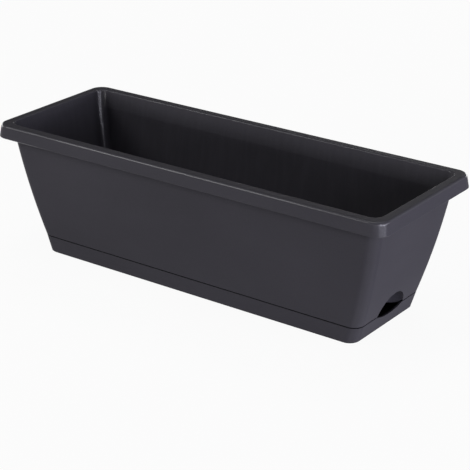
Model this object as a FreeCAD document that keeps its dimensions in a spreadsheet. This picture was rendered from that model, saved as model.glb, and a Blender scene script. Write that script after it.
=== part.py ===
import FreeCAD, Part
import math
import os
import Sketcher

# A balcony flower trough standing in its push-on water tray, both moulded in anthracite plastic.
# X runs along the trough, with the watering scoop in the +X end. -Y is the front. Z is up from the
# surface that the tray stands on, and the origin is the middle of the tray's footprint.
# Sizes are in millimetres and degrees.

SIZES = {
    # Whole planter: length and width over the lower edge of the rim's skirt.
    "overall_length": 500.0,
    "overall_width": 180.0,
    "overall_height": 150.0,
    # Rim: a flat top, turned down into a skirt that flares a little towards its lower edge.
    "rim_width": 10.9,
    "rim_thickness": 2.2,
    "rim_corner": 15.6,
    "rim_outer_round": 3.0,
    "rim_inner_round": 1.5,
    "skirt_height": 14.9,
    "skirt_flare": 1.9,
    "skirt_thickness": 2.2,
    "skirt_edge_break": 0.8,
    # Trough wall: a stacking band leans out up to the rim. Below it the ends and sides lean in
    # towards the foot, and bow out a little at half height.
    "wall_thickness": 2.5,
    "wall_corner": 12.0,
    "mouth_corner": 10.5,
    "band_height": 20.0,
    "band_flare": 3.7,
    "end_batter": 26.4,
    "side_batter": 14.0,
    "end_bow": 2.1,
    "side_bow": 0.7,
    "core_steps": 6,
    # Trough bottom: a spigot nests inside the tray and carries the floor.
    "spigot_depth": 3.6,
    "spigot_clearance": 0.6,
    "floor_thickness": 2.5,
    "floor_edge_break": 1.2,
    # Wick wells: soil-filled cups under the floor, which stand on the tray and drink its water.
    "well_count": 3,
    "well_pitch": 140.0,
    "well_row_spacing": 56.0,
    "well_length": 34.0,
    "well_width": 28.0,
    "well_draft": 8.0,
    "well_wall": 2.0,
    "well_slot_width": 4.0,
    "well_slot_height": 6.0,
    # Drain holes in the floor, in line with the wells.
    "drain_count": 4,
    "drain_pitch": 70.0,
    "drain_diameter": 7.0,
    # Watering scoop: a half-moon pocket, hollowed by a ball, in the foot of the +X end wall.
    "scoop_radius": 26.7,
    "scoop_drop": 7.4,
    "scoop_reach": 20.6,
    # Water tray: its wall carries on the line of the trough's wall below a narrow seam.
    "tray_height": 18.6,
    "seam_gap": 1.2,
    "seam_step": 0.2,
    "tray_end_batter": 5.6,
    "tray_side_batter": 1.4,
    "tray_wall": 2.2,
    "tray_floor": 2.2,
    "tray_edge_break": 0.5,
    "tray_foot_height": 1.0,
    "tray_foot_width": 7.0,
    "tray_foot_break": 0.9,
    # The tray's lip dips below the scoop, and low ribs stiffen its floor.
    "lip_width": 50.0,
    "lip_dip": 4.8,
    "rib_height": 3.0,
    "rib_thickness": 1.8,
}

doc = FreeCAD.newDocument("planter")
sheet = doc.addObject("Spreadsheet::Sheet", "Sizes")
for row, (alias, value) in enumerate(SIZES.items(), start=1):
    sheet.set(f"A{row}", alias)
    sheet.set(f"B{row}", str(value))
    sheet.setAlias(f"B{row}", alias)
doc.recompute()

# Heights of the main levels.
RIM_TOP = "Sizes.overall_height"
RIM_UNDERSIDE = "(Sizes.overall_height - Sizes.rim_thickness)"
SKIRT_EDGE = "(Sizes.overall_height - Sizes.skirt_height)"
BAND_FOOT = "(Sizes.overall_height - Sizes.band_height)"
WALL_FOOT = "(Sizes.tray_height + Sizes.seam_gap)"
SHOULDER_TOP = f"({WALL_FOOT} + Sizes.wall_thickness)"
FLOOR_UNDERSIDE = f"({WALL_FOOT} - Sizes.spigot_depth)"
FLOOR_TOP = f"({FLOOR_UNDERSIDE} + Sizes.floor_thickness)"
TRAY_FLOOR_TOP = "(Sizes.tray_foot_height + Sizes.tray_floor)"

# How far the mouth and the foot of the stacking band lie inside the skirt's lower edge.
MOUTH_INSET = "Sizes.skirt_flare + Sizes.rim_width"
BAND_FOOT_INSET = f"{MOUTH_INSET} + Sizes.band_flare"


def number(expression):
    """The present value of an expression in the sizes."""
    return float(sheet.evalExpression(expression))


def outline(end_inset, side_inset):
    """Half length and half width, drawn in from the skirt's lower edge at the ends and sides."""
    return f"(Sizes.overall_length / 2 - ({end_inset}))", f"(Sizes.overall_width / 2 - ({side_inset}))"


def wall_outline(height, thickness="0"):
    """The trough's outer wall below the band at one height, drawn in by a thickness."""
    rise = f"(({height} - {WALL_FOOT}) / ({BAND_FOOT} - {WALL_FOOT}))"

    def inset(batter, bow):
        leaning = f"{batter} * (1 - {rise}) - 4 * {bow} * {rise} * (1 - {rise})"
        return f"{BAND_FOOT_INSET} - Sizes.wall_thickness + {leaning} + {thickness}"

    return outline(inset("Sizes.end_batter", "Sizes.end_bow"), inset("Sizes.side_batter", "Sizes.side_bow"))


def tray_outline(height, thickness="0"):
    """The tray's outer wall at one height, drawn in by a thickness."""
    top_length, top_width = wall_outline(WALL_FOOT)
    fall = f"(1 - ({height}) / Sizes.tray_height)"
    half_length = f"({top_length} - Sizes.seam_step - Sizes.tray_end_batter * {fall} - ({thickness}))"
    half_width = f"({top_width} - Sizes.seam_step - Sizes.tray_side_batter * {fall} - ({thickness}))"
    return half_length, half_width


def origin_feature(body, role):
    """The plane or axis of a body's own origin that has the given role."""
    return next(feature for feature in body.Origin.OriginFeatures if feature.Role == role)


def new_body(name):
    body = doc.addObject("PartDesign::Body", name)
    body.Label = name
    return body


def new_sketch(body, name, height, role="XY_Plane"):
    """An empty sketch on one of the body's origin planes, lifted along the plane's normal."""
    sketch = body.newObject("Sketcher::SketchObject", name)
    sketch.AttachmentSupport = (origin_feature(body, role), [""])
    sketch.MapMode = "FlatFace"
    sketch.setExpression("AttachmentOffset.Base.z", height)
    return sketch


def drive(sketch, expression, kind, *places):
    """Add a dimension to a sketch and bind it to the sizes."""
    index = sketch.addConstraint(Sketcher.Constraint(kind, *places, number(expression)))
    sketch.setExpression(f"Constraints[{index}]", expression)


def rounded_rectangle(body, name, height, half_sizes, corner):
    """A level sketch of a rectangle with round corners, centred on the Z axis."""
    sketch = new_sketch(body, name, height)
    half_length, half_width = half_sizes
    reach_x = number(half_length)
    reach_y = number(half_width)
    radius = number(corner)
    flat_x = reach_x - radius
    flat_y = reach_y - radius
    point = FreeCAD.Vector
    sides = [
        Part.LineSegment(point(-flat_x, -reach_y), point(flat_x, -reach_y)),
        Part.LineSegment(point(reach_x, -flat_y), point(reach_x, flat_y)),
        Part.LineSegment(point(flat_x, reach_y), point(-flat_x, reach_y)),
        Part.LineSegment(point(-reach_x, flat_y), point(-reach_x, -flat_y)),
    ]
    sketch.addGeometry(sides)
    corner_centres = [(flat_x, -flat_y), (flat_x, flat_y), (-flat_x, flat_y), (-flat_x, -flat_y)]
    for turn, (centre_x, centre_y) in enumerate(corner_centres):
        circle = Part.Circle(point(centre_x, centre_y), point(0, 0, 1), radius)
        sketch.addGeometry(Part.ArcOfCircle(circle, (turn - 1) * math.pi / 2, turn * math.pi / 2))
    first_arc = len(sides)
    for side in range(len(sides)):
        arc = first_arc + side
        next_side = (side + 1) % len(sides)
        sketch.addConstraint(Sketcher.Constraint("Tangent", side, 2, arc, 1))
        sketch.addConstraint(Sketcher.Constraint("Tangent", arc, 2, next_side, 1))
        sketch.addConstraint(Sketcher.Constraint("Vertical" if side % 2 else "Horizontal", side))
        if side:
            sketch.addConstraint(Sketcher.Constraint("Equal", first_arc, arc))
    sketch.addConstraint(Sketcher.Constraint("Symmetric", 0, 1, 2, 1, -1, 1))
    drive(sketch, f"2 * {half_length}", "DistanceX", 3, 1, 1, 1)
    drive(sketch, f"2 * {half_width}", "DistanceY", 0, 1, 2, 1)
    drive(sketch, corner, "Radius", first_arc)
    return sketch


def add_circle(sketch, centre_x, centre_y, diameter):
    """A circle in a sketch, placed from the sketch's origin."""
    centre = FreeCAD.Vector(number(centre_x), number(centre_y))
    circle = sketch.addGeometry(Part.Circle(centre, FreeCAD.Vector(0, 0, 1), number(diameter) / 2))
    drive(sketch, centre_x, "DistanceX", -1, 1, circle, 3)
    drive(sketch, centre_y, "DistanceY", -1, 1, circle, 3)
    drive(sketch, diameter, "Diameter", circle)


def add_rectangle(sketch, centre_x, centre_y, size_x, size_y):
    """A square-cornered rectangle in a sketch, placed from the sketch's origin."""
    left = number(f"{centre_x} - {size_x} / 2")
    right = number(f"{centre_x} + {size_x} / 2")
    near = number(f"{centre_y} - {size_y} / 2")
    far = number(f"{centre_y} + {size_y} / 2")
    corners = [FreeCAD.Vector(*corner) for corner in ((left, near), (right, near), (right, far), (left, far))]
    sides = [Part.LineSegment(corners[turn - 1], corners[turn]) for turn in range(len(corners))]
    first = sketch.addGeometry(sides)[0]
    for side in range(len(sides)):
        next_side = (side + 1) % len(sides)
        sketch.addConstraint(Sketcher.Constraint("Coincident", first + side, 2, first + next_side, 1))
        sketch.addConstraint(Sketcher.Constraint("Horizontal" if side % 2 else "Vertical", first + side))
    drive(sketch, f"{centre_x} - {size_x} / 2", "DistanceX", -1, 1, first + 1, 1)
    drive(sketch, f"{centre_y} - {size_y} / 2", "DistanceY", -1, 1, first + 1, 1)
    drive(sketch, size_x, "DistanceX", first + 1, 1, first + 2, 1)
    drive(sketch, size_y, "DistanceY", first + 2, 1, first + 3, 1)


def loft(body, kind, name, sections, ruled):
    """A loft that adds to or cuts from a body, through level sections from the top down."""
    feature = body.newObject(f"PartDesign::{kind}", name)
    feature.Profile = sections[0]
    feature.Sections = sections[1:]
    feature.Ruled = ruled
    return feature


def extrude(body, kind, name, sketch, length, reverse=False, draft="0"):
    """A pad or pocket of a sketch, drafted where it is moulded."""
    feature = body.newObject(f"PartDesign::{kind}", name)
    feature.Profile = sketch
    feature.Reversed = reverse
    feature.setExpression("Length", length)
    feature.setExpression("TaperAngle", draft)
    return feature


def row_along_x(body, name, feature, count, pitch):
    """Repeat a feature in a row along X."""
    row = body.newObject("PartDesign::LinearPattern", name)
    row.Originals = [feature]
    row.Direction = (origin_feature(body, "X_Axis"), [""])
    row.setExpression("Length", f"{pitch} * ({count} - 1)")
    row.setExpression("Occurrences", count)
    body.Tip = row
    return row


def row_start(count, pitch):
    """X of the first of a row that is centred on the Z axis."""
    return f"(-{pitch} * ({count} - 1) / 2)"


def round_edges(body, name, radius, wanted):
    """Round the edges of the body's present shape that pass a test."""
    doc.recompute()
    base = body.Tip
    edges = [f"Edge{index}" for index, edge in enumerate(base.Shape.Edges, start=1) if wanted(edge)]
    fillet = body.newObject("PartDesign::Fillet", name)
    fillet.Base = (base, edges)
    fillet.setExpression("Radius", radius)
    return fillet


def level_edge(height):
    """A test for edges that lie at one height."""
    level = number(height)

    def is_level(edge):
        return abs(edge.BoundBox.ZMin - level) < NEAR and abs(edge.BoundBox.ZMax - level) < NEAR

    return is_level


def level_edge_within(height, half_sizes):
    """A test for edges at one height that lie on or inside an outline."""
    is_level = level_edge(height)
    reach_x, reach_y = (number(half_size) + NEAR for half_size in half_sizes)

    def is_within(edge):
        box = edge.BoundBox
        inside = max(-box.XMin, box.XMax) < reach_x and max(-box.YMin, box.YMax) < reach_y
        return inside and is_level(edge)

    return is_within


# Edges are told apart by their place to within this distance.
NEAR = 0.01

ROW_Y = "Sizes.well_row_spacing / 2"
WELL_START = row_start("Sizes.well_count", "Sizes.well_pitch")
DRAIN_START = row_start("Sizes.drain_count", "Sizes.drain_pitch")


def place_scoop(body, name, radius):
    """Cut a ball for the watering scoop into the foot of the +X end wall."""
    half_length, half_width = wall_outline(WALL_FOOT)
    ball = body.newObject("PartDesign::SubtractiveSphere", name)
    ball.AttachmentSupport = (origin_feature(body, "XY_Plane"), [""])
    ball.MapMode = "FlatFace"
    ball.setExpression("Radius", radius)
    ball.setExpression("AttachmentOffset.Base.x", f"{half_length} - Sizes.scoop_reach + Sizes.scoop_radius")
    ball.setExpression("AttachmentOffset.Base.z", f"{WALL_FOOT} - Sizes.scoop_drop")
    return ball


def make_soil_core():
    """The space for soil, shaped as the mould's core: what the trough is hollowed with."""
    body = new_body("soil_core")
    inner_corner = "Sizes.wall_corner - Sizes.wall_thickness"
    mouth = rounded_rectangle(body, "mouth", RIM_TOP, outline(MOUTH_INSET, MOUTH_INSET), "Sizes.mouth_corner")
    band_foot = rounded_rectangle(
        body, "band_foot", BAND_FOOT, wall_outline(BAND_FOOT, "Sizes.wall_thickness"), inner_corner)
    loft(body, "AdditiveLoft", "band", [mouth, band_foot], ruled=True)

    # The core is milled in straight steps that follow the bow of the outer wall.
    steps = int(number("Sizes.core_steps"))
    levels = [band_foot]
    for step in range(1, steps + 1):
        height = f"({BAND_FOOT} - ({BAND_FOOT} - {SHOULDER_TOP}) * {step} / Sizes.core_steps)"
        levels.append(rounded_rectangle(
            body, "core_level", height, wall_outline(height, "Sizes.wall_thickness"), inner_corner))
    loft(body, "AdditiveLoft", "wall", levels, ruled=True)

    spigot_inset = "Sizes.tray_wall + Sizes.spigot_clearance + Sizes.wall_thickness"
    spigot_corner = f"Sizes.wall_corner - {spigot_inset}"
    spigot_top = rounded_rectangle(
        body, "spigot_top", SHOULDER_TOP, tray_outline(WALL_FOOT, spigot_inset), spigot_corner)
    break_top = f"({FLOOR_TOP} + Sizes.floor_edge_break)"
    spigot_foot = rounded_rectangle(
        body, "spigot_foot", break_top, tray_outline(break_top, spigot_inset), spigot_corner)
    floor_inset = f"{spigot_inset} + Sizes.floor_edge_break"
    floor = rounded_rectangle(
        body, "floor", FLOOR_TOP, tray_outline(FLOOR_TOP, floor_inset), f"Sizes.wall_corner - ({floor_inset})")
    loft(body, "AdditiveLoft", "spigot", [spigot_top, spigot_foot, floor], ruled=True)

    place_scoop(body, "scoop_back", "Sizes.scoop_radius + Sizes.wall_thickness")

    wells = new_sketch(body, "well_mouths", FLOOR_TOP)
    mouth_length = "(Sizes.well_length - 2 * Sizes.well_wall)"
    mouth_width = "(Sizes.well_width - 2 * Sizes.well_wall)"
    for row_y in (ROW_Y, f"-{ROW_Y}"):
        add_rectangle(wells, WELL_START, row_y, mouth_length, mouth_width)
    depth = f"{FLOOR_TOP} - {TRAY_FLOOR_TOP} - Sizes.well_wall"
    well = extrude(body, "Pad", "well", wells, depth, reverse=True, draft="-Sizes.well_draft")
    row_along_x(body, "well_row", well, "Sizes.well_count", "Sizes.well_pitch")
    return body


def make_trough(core):
    """The flower trough: rim, wall, spigot, floor, wick wells and watering scoop in one moulding."""
    body = new_body("trough")

    # The rim starts as a solid block, is rounded, and is hollowed from below to leave top and skirt.
    rim_top = rounded_rectangle(
        body, "rim_top", RIM_TOP, outline("Sizes.skirt_flare", "Sizes.skirt_flare"), "Sizes.rim_corner")
    skirt_foot = rounded_rectangle(
        body, "skirt_foot", f"({SKIRT_EDGE} + Sizes.skirt_edge_break)", outline("0", "0"), "Sizes.rim_corner")
    skirt_edge = rounded_rectangle(
        body, "skirt_edge", SKIRT_EDGE, outline("Sizes.skirt_edge_break", "Sizes.skirt_edge_break"),
        "Sizes.rim_corner - Sizes.skirt_edge_break")
    loft(body, "AdditiveLoft", "rim", [rim_top, skirt_foot, skirt_edge], ruled=True)
    round_edges(body, "rim_outer_edge", "Sizes.rim_outer_round", level_edge(RIM_TOP))
    skirt_corner = "Sizes.rim_corner - Sizes.skirt_thickness"
    lining_edge = rounded_rectangle(
        body, "lining_edge", SKIRT_EDGE, outline("Sizes.skirt_thickness", "Sizes.skirt_thickness"), skirt_corner)
    lining_inset = "Sizes.skirt_flare + Sizes.skirt_thickness"
    lining_top = rounded_rectangle(
        body, "lining_top", RIM_UNDERSIDE, outline(lining_inset, lining_inset), skirt_corner)
    loft(body, "SubtractiveLoft", "rim_hollow", [lining_top, lining_edge], ruled=True)

    # The wall is a bowed plug up to the band, and a straight flare from there to the rim.
    foot = rounded_rectangle(body, "wall_foot", WALL_FOOT, wall_outline(WALL_FOOT), "Sizes.wall_corner")
    middle_height = f"({WALL_FOOT} + {BAND_FOOT}) / 2"
    middle = rounded_rectangle(
        body, "wall_middle", middle_height, wall_outline(middle_height), "Sizes.wall_corner")
    band_foot = rounded_rectangle(body, "band_foot", BAND_FOOT, wall_outline(BAND_FOOT), "Sizes.wall_corner")
    band_inset = f"{MOUTH_INSET} - Sizes.wall_thickness"
    band_top = rounded_rectangle(
        body, "band_top", RIM_UNDERSIDE, outline(band_inset, band_inset), "Sizes.mouth_corner + Sizes.wall_thickness")
    loft(body, "AdditiveLoft", "wall", [band_foot, middle, foot], ruled=False)
    loft(body, "AdditiveLoft", "band", [band_top, band_foot], ruled=True)

    # The spigot drops inside the tray, and the wells stand on the tray's floor.
    spigot_inset = "Sizes.tray_wall + Sizes.spigot_clearance"
    spigot_corner = f"Sizes.wall_corner - {spigot_inset}"
    spigot_top = rounded_rectangle(
        body, "spigot_top", WALL_FOOT, tray_outline(WALL_FOOT, spigot_inset), spigot_corner)
    spigot_end = rounded_rectangle(
        body, "spigot_end", FLOOR_UNDERSIDE, tray_outline(FLOOR_UNDERSIDE, spigot_inset), spigot_corner)
    loft(body, "AdditiveLoft", "spigot", [spigot_top, spigot_end], ruled=True)
    wells = new_sketch(body, "well_outsides", FLOOR_UNDERSIDE)
    for row_y in (ROW_Y, f"-{ROW_Y}"):
        add_rectangle(wells, WELL_START, row_y, "Sizes.well_length", "Sizes.well_width")
    depth = f"{FLOOR_UNDERSIDE} - {TRAY_FLOOR_TOP}"
    well = extrude(body, "Pad", "well", wells, depth, reverse=True, draft="-Sizes.well_draft")
    row_along_x(body, "well_row", well, "Sizes.well_count", "Sizes.well_pitch")

    hollow = body.newObject("PartDesign::Boolean", "hollow")
    hollow.Type = "Cut"
    hollow.Group = [core]
    place_scoop(body, "scoop", "Sizes.scoop_radius")

    slots = new_sketch(body, "well_slots", TRAY_FLOOR_TOP)
    for row_y in (ROW_Y, f"-{ROW_Y}"):
        add_rectangle(slots, WELL_START, row_y, "Sizes.well_length", "Sizes.well_slot_width")
    slot = extrude(body, "Pocket", "well_slot", slots, "Sizes.well_slot_height", reverse=True)
    row_along_x(body, "well_slot_row", slot, "Sizes.well_count", "Sizes.well_pitch")

    drains = new_sketch(body, "drain_holes", FLOOR_TOP)
    for row_y in (ROW_Y, f"-{ROW_Y}"):
        add_circle(drains, DRAIN_START, row_y, "Sizes.drain_diameter")
    drain = extrude(body, "Pocket", "drain", drains, "Sizes.floor_thickness")
    row_along_x(body, "drain_row", drain, "Sizes.drain_count", "Sizes.drain_pitch")

    mouth = level_edge_within(RIM_TOP, outline(MOUTH_INSET, MOUTH_INSET))
    round_edges(body, "rim_inner_edge", "Sizes.rim_inner_round", mouth)
    return body


def make_water_tray():
    """The water tray: a shallow pan with a foot ring, ribs and a lip that dips below the scoop."""
    body = new_body("water_tray")
    levels = [
        ("edge_top", "Sizes.tray_height", "Sizes.tray_edge_break"),
        ("wall_top", "(Sizes.tray_height - Sizes.tray_edge_break)", "0"),
        ("wall_foot", "Sizes.tray_foot_break", "0"),
        ("base", "0", "Sizes.tray_foot_break"),
    ]
    sections = [
        rounded_rectangle(body, name, height, tray_outline(height, inset), f"Sizes.wall_corner - {inset}")
        for name, height, inset in levels
    ]
    loft(body, "AdditiveLoft", "pan", sections, ruled=True)

    inner_corner = "Sizes.wall_corner - Sizes.tray_wall"
    inner_floor = rounded_rectangle(
        body, "inner_floor", TRAY_FLOOR_TOP, tray_outline(TRAY_FLOOR_TOP, "Sizes.tray_wall"), inner_corner)
    inner_top = rounded_rectangle(
        body, "inner_top", "Sizes.tray_height", tray_outline("Sizes.tray_height", "Sizes.tray_wall"), inner_corner)
    loft(body, "SubtractiveLoft", "water_space", [inner_top, inner_floor], ruled=True)

    foot_corner = "Sizes.wall_corner - Sizes.tray_wall"
    underside = rounded_rectangle(body, "underside", "0", tray_outline("0", "Sizes.tray_foot_width"), foot_corner)
    extrude(body, "Pocket", "foot_ring", underside, "Sizes.tray_foot_height", reverse=True)

    # One rib runs down the middle, and a cross rib lies between each two wells of a row.
    floor_length, floor_width = tray_outline(TRAY_FLOOR_TOP, "Sizes.tray_wall")
    spine = new_sketch(body, "spine", TRAY_FLOOR_TOP)
    add_rectangle(spine, "0", "0", f"2 * {floor_length}", "Sizes.rib_thickness")
    extrude(body, "Pad", "spine_rib", spine, "Sizes.rib_height")
    cross = new_sketch(body, "cross", TRAY_FLOOR_TOP)
    cross_count = "(Sizes.well_count - 1)"
    cross_start = row_start(cross_count, "Sizes.well_pitch")
    add_rectangle(cross, cross_start, "0", "Sizes.rib_thickness", f"2 * {floor_width}")
    cross_rib = extrude(body, "Pad", "cross_rib", cross, "Sizes.rib_height")
    row_along_x(body, "cross_ribs", cross_rib, cross_count, "Sizes.well_pitch")

    # The lip is one shallow arc across the +X end wall.
    lip = new_sketch(body, "lip", "0", role="YZ_Plane")
    lip_radius = "((Sizes.lip_width ^ 2 / 4 + Sizes.lip_dip ^ 2) / (2 * Sizes.lip_dip))"
    add_circle(lip, "0", f"Sizes.tray_height - Sizes.lip_dip + {lip_radius}", f"2 * {lip_radius}")
    extrude(body, "Pocket", "lip_dip", lip, "Sizes.overall_length / 2", reverse=True)
    return body


def check(pieces):
    """Stop if any feature failed or any piece isn't one sound solid."""
    doc.recompute()
    failed = [item.Name for item in doc.Objects if {"Invalid", "Error"} & set(item.State)]
    if failed:
        raise RuntimeError(f"features failed: {failed}")
    for piece in pieces:
        shape = piece.Shape
        if shape.isNull() or not shape.isValid() or len(shape.Solids) != 1:
            raise RuntimeError(f"{piece.Label} is not one sound solid")


pieces = [make_trough(make_soil_core()), make_water_tray()]
check(pieces)
os.makedirs("parts", exist_ok=True)
for piece in pieces:
    piece.Shape.exportStep(f"parts/{piece.Label}.step")
    box = piece.Shape.BoundBox
    print(f"{piece.Label}: {box.XLength:.1f} x {box.YLength:.1f} x {box.ZLength:.1f} mm,"
          f" {piece.Shape.Volume / 1000:.1f} cm3")
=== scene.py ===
import math

import bmesh
import bpy
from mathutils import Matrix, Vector


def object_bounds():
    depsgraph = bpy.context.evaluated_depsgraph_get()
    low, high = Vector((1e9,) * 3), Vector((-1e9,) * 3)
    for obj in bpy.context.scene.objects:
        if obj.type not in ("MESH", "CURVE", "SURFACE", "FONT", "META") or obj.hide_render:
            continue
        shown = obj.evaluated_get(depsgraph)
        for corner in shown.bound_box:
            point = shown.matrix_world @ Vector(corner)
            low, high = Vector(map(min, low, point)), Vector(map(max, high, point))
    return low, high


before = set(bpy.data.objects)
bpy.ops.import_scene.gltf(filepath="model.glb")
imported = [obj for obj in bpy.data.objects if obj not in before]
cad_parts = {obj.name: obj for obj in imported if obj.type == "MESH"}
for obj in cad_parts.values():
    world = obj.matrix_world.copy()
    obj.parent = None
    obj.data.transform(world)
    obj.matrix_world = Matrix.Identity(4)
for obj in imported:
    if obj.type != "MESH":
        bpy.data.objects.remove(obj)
cad_low, cad_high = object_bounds()
scene = bpy.context.scene
scene.view_settings.view_transform = "Standard"

# Water tray: the shallow dish that the trough stands in, injection moulded in anthracite polypropylene.
# The flats of the mould are spark-eroded and leave a fine matt grain, while its rounded edges are polished.
# The foot and the upper edge, which rub on the sill and on the trough, are a little paler than the walls.
ANTHRACITE = (0.0367, 0.0350, 0.0410)
MATT_SHINE = 0.035
MATT_ROUGHNESS = (0.60, 0.54)
WHOLE = (0.0, 1.0)

# Flow clouds, speckle, grain and core marks, each counted per metre.
CLOUDS_PER_METRE = 6.0
CLOUD_DETAIL = 4.0
CLOUD_TONES = (0.93, 1.07)
SPECKLES_PER_METRE = 900.0
SPECKLE_TONES = (0.95, 1.05)
GRAINS_PER_METRE = 1700.0
GRAIN_DEPTH = 0.0001
GRAIN_STRENGTH = 0.15
FINE_DETAIL = 2.0
CORE_MARKS_PER_METRE = (160.0, 160.0, 14.0)
CORE_MARK_DETAIL = 3.0
CORE_MARK_LEVELS = (0.42, 0.72)
CORE_MARK_PALER = 0.12
CORE_MARK_ROUGHER = 0.08
EVENLY = (1.0, 1.0, 1.0)
NOISE_LEVELS = (0.3, 0.7)

# Rubbed edges, told by how far a softened normal agrees with the surface's own.
RUBBED_WIDTH = 0.0009
RUBBED_AGREEMENT = (0.995, 0.90)
RUBBED_SAMPLES = 6
RUBBED_CLOUD_LEVELS = (0.35, 0.65)
RUBBED_CLOUD_SHARES = (0.35, 1.0)
RUBBED_PALER = 0.14
RUBBED_SMOOTHER = 0.12

# Polished roundings, told by how far the surface looks along one axis.
POLISH_ROUGHNESS = 0.24
POLISH_IOR = 1.5
ROUNDING_FLATNESS = (0.95, 0.88)
RIM_EDGE_DEPTHS = (0.0045, 0.0025)
RIM_EDGE_HEIGHTS = tuple(cad_high[2] - depth for depth in RIM_EDGE_DEPTHS)
CORNER_TO_RIM_POLISH = (0.18, 0.72)
CORE_POLISH = 0.62
CORE_SIDE = (0.0, -0.02)
HOLLOW_CORNER_TILT = (0.20, 0.28)
HOLLOW_CORNER_POLISH = 0.05

# Painted shade in seams and hollows, told by how open the surface lies to what is around it.
SHELTER_SAMPLES = 8
SEAM_REACH = 0.003
SEAM_OPENNESS = (0.5, 0.9)
SEAM_SHADE_TONES = (0.08, 1.0)
HOLLOW_REACH = 0.03
HOLLOW_OPENNESS = (0.48, 0.86)
HOLLOW_SHADE_TONES = (0.25, 1.0)


def moulded_plastic(name, cloud_stretch, core_share):
    """Mass-dyed plastic with matt flats, polished roundings, rubbed edges, core marks, and painted shade in
    seams and hollows.
    """
    material = bpy.data.materials.new(name)
    material.use_nodes = True
    nodes = material.node_tree.nodes
    links = material.node_tree.links
    shader = nodes["Principled BSDF"]
    shader.inputs["Specular IOR Level"].default_value = MATT_SHINE
    shader.inputs["Coat Roughness"].default_value = POLISH_ROUGHNESS
    shader.inputs["Coat IOR"].default_value = POLISH_IOR
    place = nodes.new("ShaderNodeTexCoord")

    def noise(scale, detail, stretch):
        mapping = nodes.new("ShaderNodeMapping")
        mapping.inputs["Scale"].default_value = stretch
        links.new(place.outputs["Object"], mapping.inputs["Vector"])
        texture = nodes.new("ShaderNodeTexNoise")
        texture.inputs["Scale"].default_value = scale
        texture.inputs["Detail"].default_value = detail
        links.new(mapping.outputs["Vector"], texture.inputs["Vector"])
        return texture.outputs["Fac"]

    def spread(value, levels, results):
        ramp = nodes.new("ShaderNodeMapRange")
        for socket, number in zip(("From Min", "From Max", "To Min", "To Max"), levels + results):
            ramp.inputs[socket].default_value = number
        links.new(value, ramp.inputs["Value"])
        return ramp.outputs["Result"]

    def combine(operation, first, second):
        maths = nodes.new("ShaderNodeMath")
        maths.operation = operation
        links.new(first, maths.inputs[0])
        links.new(second, maths.inputs[1])
        return maths.outputs["Value"]

    def across_axes(operation, parts):
        first_two = combine(operation, parts.outputs["X"], parts.outputs["Y"])
        return combine(operation, first_two, parts.outputs["Z"])

    def agreement(first, second):
        product = nodes.new("ShaderNodeVectorMath")
        product.operation = "DOT_PRODUCT"
        links.new(first, product.inputs[0])
        links.new(second, product.inputs[1])
        return product.outputs["Value"]

    def openness(reach, own_piece_only):
        shelter = nodes.new("ShaderNodeAmbientOcclusion")
        shelter.samples = SHELTER_SAMPLES
        shelter.only_local = own_piece_only
        shelter.inputs["Distance"].default_value = reach
        return shelter.outputs["AO"]

    clouds = noise(CLOUDS_PER_METRE, CLOUD_DETAIL, cloud_stretch)
    speckle = noise(SPECKLES_PER_METRE, FINE_DETAIL, EVENLY)
    grain = noise(GRAINS_PER_METRE, FINE_DETAIL, EVENLY)
    streaks = noise(1.0, CORE_MARK_DETAIL, CORE_MARKS_PER_METRE)

    # Sharp edges, where a softened normal differs from the surface's own, are rubbed in patches.
    softened = nodes.new("ShaderNodeBevel")
    softened.samples = RUBBED_SAMPLES
    softened.inputs["Radius"].default_value = RUBBED_WIDTH
    surface = nodes.new("ShaderNodeNewGeometry")
    edge = spread(agreement(softened.outputs["Normal"], surface.outputs["Normal"]), RUBBED_AGREEMENT, WHOLE)
    rubbed = combine("MULTIPLY", edge, spread(clouds, RUBBED_CLOUD_LEVELS, RUBBED_CLOUD_SHARES))

    # Walls that face the middle were formed by the core and carry upright marks from being drawn off it.
    facing = agreement(place.outputs["Object"], place.outputs["Normal"])
    faces_in = spread(facing, CORE_SIDE, (0.0, core_share))
    drawn = combine("MULTIPLY", faces_in, spread(streaks, CORE_MARK_LEVELS, WHOLE))

    # Roundings, where the surface looks along none of the three axes, are polished: most on the rim's
    # upper edge, which hands hold, less inside, and least on the outer corners. No polishing tool reaches
    # the core's hollow corners, where three roundings meet.
    turned = nodes.new("ShaderNodeVectorMath")
    turned.operation = "ABSOLUTE"
    links.new(place.outputs["Normal"], turned.inputs[0])
    tilt = nodes.new("ShaderNodeSeparateXYZ")
    links.new(turned.outputs["Vector"], tilt.inputs["Vector"])
    rounded = spread(across_axes("MAXIMUM", tilt), ROUNDING_FLATNESS, WHOLE)
    point = nodes.new("ShaderNodeSeparateXYZ")
    links.new(place.outputs["Object"], point.inputs["Vector"])
    held = spread(point.outputs["Z"], RIM_EDGE_HEIGHTS, CORNER_TO_RIM_POLISH)
    buffed = combine("MAXIMUM", held, spread(faces_in, WHOLE, (0.0, CORE_POLISH)))
    polish = combine("MULTIPLY", rounded, buffed)
    missed = combine("MULTIPLY", faces_in, spread(across_axes("MINIMUM", tilt), HOLLOW_CORNER_TILT, WHOLE))
    polish = combine("MULTIPLY", polish, spread(missed, WHOLE, (1.0, HOLLOW_CORNER_POLISH)))
    links.new(polish, shader.inputs["Coat Weight"])

    # Painted shade: the colour is darkened in the seams between the pieces, where a piece comes near the
    # floor, and in each piece's own hollows, by how closed in they lie.
    seam_painted_shade = spread(openness(SEAM_REACH, False), SEAM_OPENNESS, SEAM_SHADE_TONES)
    hollow_painted_shade = spread(openness(HOLLOW_REACH, True), HOLLOW_OPENNESS, HOLLOW_SHADE_TONES)
    painted_shade = combine("MULTIPLY", seam_painted_shade, hollow_painted_shade)

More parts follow.
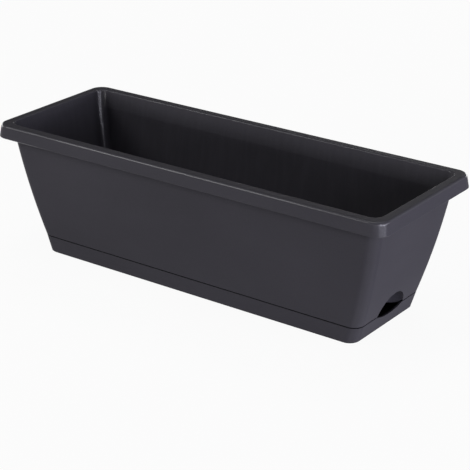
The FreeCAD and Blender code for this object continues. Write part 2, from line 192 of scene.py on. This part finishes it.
    tone = spread(clouds, NOISE_LEVELS, CLOUD_TONES)
    tone = combine("MULTIPLY", tone, spread(speckle, NOISE_LEVELS, SPECKLE_TONES))
    tone = combine("ADD", tone, spread(rubbed, WHOLE, (0.0, RUBBED_PALER)))
    tone = combine("ADD", tone, spread(drawn, WHOLE, (0.0, CORE_MARK_PALER)))
    # The painted shade of the seams and hollows darkens the colour here.
    tone = combine("MULTIPLY", tone, painted_shade)
    colour = nodes.new("ShaderNodeVectorMath")
    colour.operation = "SCALE"
    colour.inputs[0].default_value = ANTHRACITE
    links.new(tone, colour.inputs["Scale"])
    links.new(colour.outputs["Vector"], shader.inputs["Base Color"])

    roughness = spread(clouds, NOISE_LEVELS, MATT_ROUGHNESS)
    roughness = combine("SUBTRACT", roughness, spread(rubbed, WHOLE, (0.0, RUBBED_SMOOTHER)))
    roughness = combine("ADD", roughness, spread(drawn, WHOLE, (0.0, CORE_MARK_ROUGHER)))
    links.new(roughness, shader.inputs["Roughness"])

    bump = nodes.new("ShaderNodeBump")
    bump.inputs["Strength"].default_value = GRAIN_STRENGTH
    bump.inputs["Distance"].default_value = GRAIN_DEPTH
    links.new(grain, bump.inputs["Height"])
    links.new(bump.outputs["Normal"], shader.inputs["Normal"])
    return material


TRAY_CLOUD_STRETCH = (1.0, 1.0, 3.0)
TRAY_CORE_SHARE = 0.0
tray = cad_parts["water_tray"]
tray.data.materials.clear()
tray.data.materials.append(moulded_plastic("tray_plastic", TRAY_CLOUD_STRETCH, TRAY_CORE_SHARE))

# Trough: the tapered soil box, one moulding with its flat rim, turned-down skirt, wick wells and scoop.
# The outer wall has the mould's grain. The inner wall was drawn upwards off the core and rubs on
# the next trough in the stack, so it carries faint upright marks.
TROUGH_CLOUD_STRETCH = (1.0, 1.0, 2.0)
TROUGH_CORE_SHARE = 1.0
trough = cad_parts["trough"]
trough.data.materials.clear()
trough.data.materials.append(moulded_plastic("trough_plastic", TROUGH_CLOUD_STRETCH, TROUGH_CORE_SHARE))

# Studio cove: a sheet of white paper that lies flat under the planter and turns up far away all round,
# so that the planter stands on white and keeps a faint shadow, seen from any side. The paper looks nearly
# white, but it throws light back on the planter as a light grey sheet does.
PAPER_LEVEL = -0.0003
FLOOR_RADIUS = 12.0
COVE_BEND = 1.0
COVE_BEND_STEPS = 10
COVE_HEIGHT = 2.2
COVE_SIDES = 96
COVE_WELD = 0.0001
PAPER_TONE = (0.60, 0.60, 0.60, 1.0)
PAPER_GLOW = 1.0
PAPER_GLOW_SHARE = 0.94
cove_mesh = bpy.data.meshes.new("studio_cove")
cove = bpy.data.objects.new("studio_cove", cove_mesh)
scene.collection.objects.link(cove)
bm = bmesh.new()
middle = bm.verts.new((0.0, 0.0, PAPER_LEVEL))
floor_end = bm.verts.new((FLOOR_RADIUS, 0.0, PAPER_LEVEL))
bm.edges.new((middle, floor_end))
bend = bmesh.ops.spin(bm, geom=[floor_end], cent=(FLOOR_RADIUS, 0.0, PAPER_LEVEL + COVE_BEND),
                      axis=(0.0, -1.0, 0.0), angle=math.radians(90.0), steps=COVE_BEND_STEPS)
bend_top = [item for item in bend["geom_last"] if isinstance(item, bmesh.types.BMVert)]
rise = bmesh.ops.extrude_vert_indiv(bm, verts=bend_top)
bmesh.ops.translate(bm, verts=rise["verts"], vec=(0.0, 0.0, COVE_HEIGHT - COVE_BEND))
bmesh.ops.spin(bm, geom=bm.verts[:] + bm.edges[:], cent=(0.0, 0.0, 0.0), axis=(0.0, 0.0, 1.0),
               angle=math.radians(360.0), steps=COVE_SIDES, use_merge=True)
bmesh.ops.remove_doubles(bm, verts=bm.verts[:], dist=COVE_WELD)
bm.to_mesh(cove_mesh)
bm.free()
cove_mesh.shade_smooth()

paper = bpy.data.materials.new("white_paper")
paper.use_nodes = True
nodes = paper.node_tree.nodes
links = paper.node_tree.links
nodes.clear()
diffuse = nodes.new("ShaderNodeBsdfDiffuse")
diffuse.inputs["Color"].default_value = PAPER_TONE
glow = nodes.new("ShaderNodeEmission")
glow.inputs["Strength"].default_value = PAPER_GLOW
light_path = nodes.new("ShaderNodeLightPath")
seen = light_path.outputs["Is Camera Ray"]
for ray in ("Is Glossy Ray", "Is Transmission Ray"):
    either = nodes.new("ShaderNodeMath")
    either.operation = "MAXIMUM"
    links.new(seen, either.inputs[0])
    links.new(light_path.outputs[ray], either.inputs[1])
    seen = either.outputs["Value"]
glow_share = nodes.new("ShaderNodeMath")
glow_share.operation = "MULTIPLY"
glow_share.inputs[1].default_value = PAPER_GLOW_SHARE
links.new(seen, glow_share.inputs[0])
mix = nodes.new("ShaderNodeMixShader")
links.new(glow_share.outputs["Value"], mix.inputs["Fac"])
links.new(diffuse.outputs["BSDF"], mix.inputs[1])
links.new(glow.outputs["Emission"], mix.inputs[2])
output = nodes.new("ShaderNodeOutputMaterial")
links.new(mix.outputs["Shader"], output.inputs["Surface"])
cove_mesh.materials.append(paper)

# Studio light: wide strips near the floor on all sides, two softboxes that draw the bright lines along the
# rim, and two from above that reach into the trough, in a dim room. The scoop's end is lit a little cooler.
LAMP_DISTANCE = 2.2
ROOM_LIGHT = 0.10
ROOM_WHITE = (1.0, 1.0, 1.0, 1.0)
DAYLIGHT = (0.86, 0.86, 1.0)
LAMPLIGHT = (1.0, 1.0, 1.0)
world = bpy.data.worlds.new("studio_room")
scene.world = world
world.use_nodes = True
room = world.node_tree.nodes["Background"]
room.inputs["Color"].default_value = ROOM_WHITE
room.inputs["Strength"].default_value = ROOM_LIGHT


def direction(azimuth, elevation):
    """The way out from the planter, in degrees: azimuth 0 is its front and 90 the scoop's end."""
    turn = math.radians(azimuth)
    lift = math.radians(elevation)
    return Vector((math.sin(turn) * math.cos(lift), -math.cos(turn) * math.cos(lift), math.sin(lift)))


def softbox(name, azimuth, elevation, width, height, power, colour=LAMPLIGHT):
    """A lamp behind a sheet of cloth, turned to face the planter."""
    lamp = bpy.data.lights.new(name, "AREA")
    lamp.shape = "RECTANGLE"
    lamp.size = width
    lamp.size_y = height
    lamp.energy = power
    lamp.color = colour
    light = bpy.data.objects.new(name, lamp)
    scene.collection.objects.link(light)
    outwards = direction(azimuth, elevation)
    light.location = outwards * LAMP_DISTANCE
    light.rotation_euler = outwards.to_track_quat("Z", "Y").to_euler()


softbox("right_softbox", azimuth=64.0, elevation=18.0, width=0.6, height=0.6, power=9.0, colour=DAYLIGHT)
softbox("right_strip", azimuth=73.0, elevation=4.6, width=1.8, height=0.34, power=24.5, colour=DAYLIGHT)
softbox("end_strip", azimuth=106.0, elevation=4.6, width=1.6, height=0.34, power=34.0, colour=DAYLIGHT)
softbox("back_strip", azimuth=188.0, elevation=8.0, width=2.0, height=0.5, power=19.0)
softbox("back_softbox", azimuth=185.0, elevation=66.0, width=0.7, height=0.7, power=8.0)
softbox("left_strip", azimuth=262.0, elevation=8.0, width=1.6, height=0.5, power=13.0)
softbox("left_softbox", azimuth=320.0, elevation=30.0, width=0.7, height=0.55, power=11.0)
softbox("front_strip", azimuth=340.0, elevation=8.5, width=1.4, height=0.25, power=22.5)
softbox("top_softbox", azimuth=300.0, elevation=80.0, width=0.7, height=0.7, power=7.5)

# Camera: a long lens at the photograph's height, in front of the planter's scoop end.
CAMERA_AZIMUTH = 36.47
CAMERA_ELEVATION = 21.76
CAMERA_DISTANCE = 1.745
AIM = Vector((0.0, 0.0, 0.0794))
AIM_PIXEL = (224.3, 208.64)
FOCAL_PIXELS = 1624.7
FRAME_PIXELS = 470.0
SENSOR_WIDTH = 36.0
lens = bpy.data.cameras.new("photo_camera")
lens.sensor_width = SENSOR_WIDTH
lens.lens = FOCAL_PIXELS / FRAME_PIXELS * SENSOR_WIDTH
lens.shift_x = 0.5 - AIM_PIXEL[0] / FRAME_PIXELS
lens.shift_y = AIM_PIXEL[1] / FRAME_PIXELS - 0.5
camera = bpy.data.objects.new("photo_camera", lens)
scene.collection.objects.link(camera)
outwards = direction(CAMERA_AZIMUTH, CAMERA_ELEVATION)
camera.location = AIM + outwards * CAMERA_DISTANCE
camera.rotation_euler = outwards.to_track_quat("Z", "Y").to_euler()
scene.camera = camera
